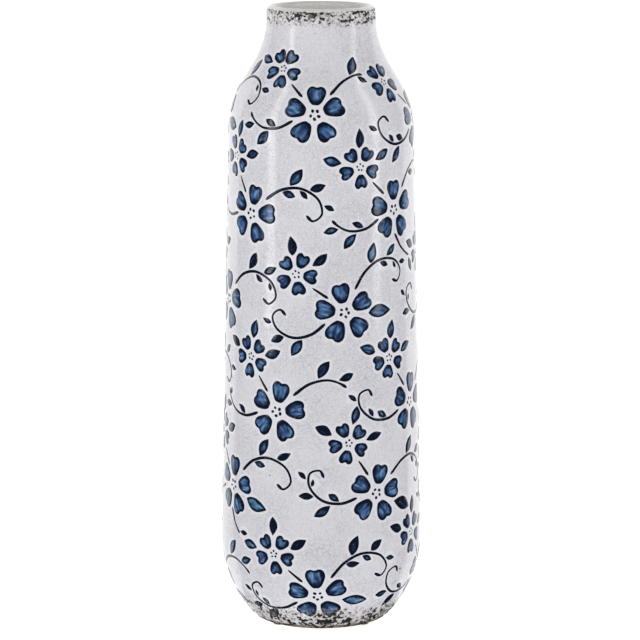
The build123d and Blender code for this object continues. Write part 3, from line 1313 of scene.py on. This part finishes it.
def paint_all(kind, name, shares):
    """Paints every stroke of one kind as one piece."""
    painted, _ = painted_strokes()
    chosen = [stroke for stroke in painted if stroke["kind"] == kind]
    brushwork = Brushwork(len(chosen))
    for stroke in chosen:
        if shares is None:
            brushwork.add_line(stroke)
        else:
            brushwork.add_blob(stroke, shares)
    c = colours()
    finish, blue = "cobalt_under_glaze", c.paint_mid
    if kind == "leaf":
        finish, blue = "leaf_blue_under_glaze", c.paint_leaf
    brushwork.finish(name, bpy.data.materials.get(finish) or brushed_under_glaze(finish, blue))


class VASE_OT_painted_petals(bpy.types.Operator):
    """Paint the petals of the large and the small flowers"""

    bl_idname = "vase.painted_petals"
    bl_label = "Painted petals"

    def execute(self, context):
        paint_all("petal", "painted_petals", (1.0, 0.94, 0.86, 0.74, 0.55, 0.3))
        return {"FINISHED"}


class VASE_OT_painted_leaves(bpy.types.Operator):
    """Paint the leaves of every spray"""

    bl_idname = "vase.painted_leaves"
    bl_label = "Painted leaves"

    def execute(self, context):
        paint_all("leaf", "painted_leaves", (1.0, 0.88, 0.7, 0.4))
        return {"FINISHED"}


class VASE_OT_painted_stems(bpy.types.Operator):
    """Paint the stems, with their curled ends"""

    bl_idname = "vase.painted_stems"
    bl_label = "Painted stems"

    def execute(self, context):
        paint_all("stem", "painted_stems", None)
        return {"FINISHED"}


class VASE_OT_painted_dots(bpy.types.Operator):
    """Paint the stamens in the middle of each flower"""

    bl_idname = "vase.painted_dots"
    bl_label = "Painted dots"

    def execute(self, context):
        paint_all("dot", "painted_dots", (1.0, 0.8, 0.5))
        return {"FINISHED"}


class VASE_OT_felt_pads(bpy.types.Operator):
    """Cut the felt pads and glue them to the foot ring"""

    bl_idname = "vase.felt_pads"
    bl_label = "Felt pads"

    def execute(self, context):
        hand = random.Random(painting().seed + 1)
        felt = wool_felt()
        for node in sorted(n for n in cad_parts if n.startswith("felt_pad")):
            low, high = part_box(node)
            middle, radius, thick = (low + high) / 2, (high.x - low.x) / 2, high.z - low.z
            turning = Turning(48)
            turns = turning.turns()
            phase = hand.uniform(0, FULL_TURN)
            # A punched disc: its cut edge bulges and frays by a tenth of a millimetre or so.
            lower = ((0.5, 0.0), (0.9, 0.0), (0.975, 0.12))
            upper = tuple((share, 1 - level) for share, level in lower[::-1])
            rings = []
            for share, level in (*lower, (0.99, 0.5), *upper):
                fray = 0.07 * MM * np.array([hand.uniform(-1, 1) for _ in turns]) * (share > 0.95)
                r = radius * share + fray + 0.05 * MM * np.sin(3 * turns + phase)
                ring = ring_of(turns, r, low.z + thick * level) + np.array([middle.x, middle.y, 0])
                rings.append(turning.add_ring(ring))
            for k, (a, b) in enumerate(zip(rings, rings[1:])):
                turning.join(a, b, 0.02 + 0.12 * k, 0.13 + 0.12 * k)
            turning.cap(rings[0], (middle.x, middle.y, low.z), 0.08, (0.2, 0.88), outwards=False)
            turning.cap(rings[-1], (middle.x, middle.y, high.z), 0.08, (0.6, 0.88), outwards=True)
            turning.finish(node.replace("pad", "disc"), felt, "felt", node)
        return {"FINISHED"}


# ---------------------------------------------------------------- the studio


def add_light(name, kind, place, target, size, power, seen_in_gloss=True):
    """An area light that faces target."""
    data = bpy.data.lights.new(name, "AREA")
    data.shape = kind
    data.size, data.size_y = size
    data.energy = power
    lamp = bpy.data.objects.new(name, data)
    lamp.location = place
    lamp.rotation_euler = (Vector(target) - Vector(place)).to_track_quat("-Z", "Y").to_euler()
    lamp.visible_camera = False
    lamp.visible_glossy = seen_in_gloss
    bpy.context.scene.collection.objects.link(lamp)
    return lamp


def paper_curve(name, start, end, material):
    """An upright sheet of paper bent round the vase, from one bearing to another."""
    steps, radius, bottom, top = 48, 5.0, -3.0, 5.0
    turns = np.linspace(math.radians(start), math.radians(end), steps + 1)
    points = []
    for level in (bottom, top):
        points += [(radius * math.sin(t), -radius * math.cos(t), level) for t in turns]
    faces = [(i, i + 1, steps + 2 + i, steps + 1 + i) for i in range(steps)]
    mesh = bpy.data.meshes.new(name)
    mesh.from_pydata(points, [], faces)
    mesh.materials.append(material)
    sheet = bpy.data.objects.new(name, mesh)
    bpy.context.scene.collection.objects.link(sheet)
    return sheet


class VASE_OT_stage(bpy.types.Operator):
    """Set the pale floor, the paper round it, the soft lights and the camera"""

    bl_idname = "vase.stage"
    bl_label = "Stage"

    def execute(self, context):
        scene = bpy.context.scene
        floor_mesh = bpy.data.meshes.new("studio_floor")
        corners, reach = 96, 6
        angles = [k / corners * FULL_TURN for k in range(corners)]
        rim = [(reach * math.cos(a), reach * math.sin(a), 0) for a in angles]
        floor_mesh.from_pydata(rim, [], [tuple(range(corners))])
        floor_mesh.materials.append(glowing_paper("floor_paper", colours().floor, 0.76))
        floor = bpy.data.objects.new("studio_floor", floor_mesh)
        scene.collection.objects.link(floor)
        floor.visible_glossy = False
        paper = glowing_paper("backdrop_paper", (0, 0, 0), 1.25)
        behind = paper_curve("paper_behind", 122, 238, paper)
        before = paper_curve("paper_before", -122, 122, paper)
        for sheet in (behind, before):
            sheet.visible_diffuse = False
            sheet.visible_shadow = False
        before.visible_glossy = False

        world = bpy.data.worlds.new("studio")
        world.use_nodes = True
        world.node_tree.nodes.clear()
        sky = add_node(world.node_tree, "ShaderNodeBackground", {}, {"Color": (1, 1, 1), "Strength": 0.41})
        add_node(world.node_tree, "ShaderNodeOutputWorld", {}, (sky,))
        world.cycles_visibility.glossy = False
        scene.world = world

        middle = height() / 2
        # Two tall strips streak the sides, and a short patch on each brightens its streak on the neck.
        strips = (("tall", 0.6, (0.11, 0.9), 1), ("short", 0.347, (0.06, 0.04), 0.055))
        for side, bearing, power in (("left", -60, 1.1), ("right", 68, 0.9)):
            turn = math.radians(bearing)
            for part, level, size, share in strips:
                place = (0.62 * math.sin(turn), -0.62 * math.cos(turn), level)
                add_light(f"{part}_strip_{side}", "RECTANGLE", place, (0, 0, level), size, power * share)
        add_light("soft_top", "RECTANGLE", (0, -0.6, 1.35), (0, 0, height()), (0.7, 0.7), 3.7, False)

        camera_data = bpy.data.cameras.new("camera")
        camera_data.lens = 170.6
        camera_data.sensor_width = 36
        camera = bpy.data.objects.new("camera", camera_data)
        scene.collection.objects.link(camera)
        distance, elevation = 2.31, math.radians(10.69)
        camera.location = (0, -distance * math.cos(elevation), middle + distance * math.sin(elevation))
        target = Vector((-0.0008, 0, middle - 4.7 * MM))
        camera.rotation_euler = (target - camera.location).to_track_quat("-Z", "Y").to_euler()
        scene.camera = camera
        scene.view_settings.view_transform = "Standard"
        return {"FINISHED"}


class VASE_PT_panel(bpy.types.Panel):
    """Sidebar panel with the vase's sizes, colours and operators"""

    bl_idname = "VASE_PT_panel"
    bl_label = "Crackle glazed vase"
    bl_space_type = "VIEW_3D"
    bl_region_type = "UI"
    bl_category = "Vase"

    def draw(self, context):
        layout = self.layout
        for group in (context.scene.vase_form, context.scene.vase_painting, context.scene.vase_colours):
            box = layout.box()
            for name in group.__annotations__:
                box.prop(group, name)
        for maker in MAKERS:
            layout.operator(maker.bl_idname)


MAKERS = (
    VASE_OT_clay_body,
    VASE_OT_outer_glaze,
    VASE_OT_inner_glaze,
    VASE_OT_painted_petals,
    VASE_OT_painted_leaves,
    VASE_OT_painted_stems,
    VASE_OT_painted_dots,
    VASE_OT_felt_pads,
    VASE_OT_stage,
)
CLASSES = (VaseForm, VasePainting, VaseColours, *MAKERS, VASE_PT_panel)


def register():
    for made in CLASSES:
        bpy.utils.register_class(made)
    bpy.types.Scene.vase_form = PointerProperty(type=VaseForm)
    bpy.types.Scene.vase_painting = PointerProperty(type=VasePainting)
    bpy.types.Scene.vase_colours = PointerProperty(type=VaseColours)


def unregister():
    for name in ("vase_form", "vase_painting", "vase_colours"):
        delattr(bpy.types.Scene, name)
    for made in reversed(CLASSES):
        bpy.utils.unregister_class(made)


def main():
    register()
    for maker in MAKERS:
        group, action = maker.bl_idname.split(".")
        getattr(getattr(bpy.ops, group), action)()


if __name__ == "__main__":
    main()
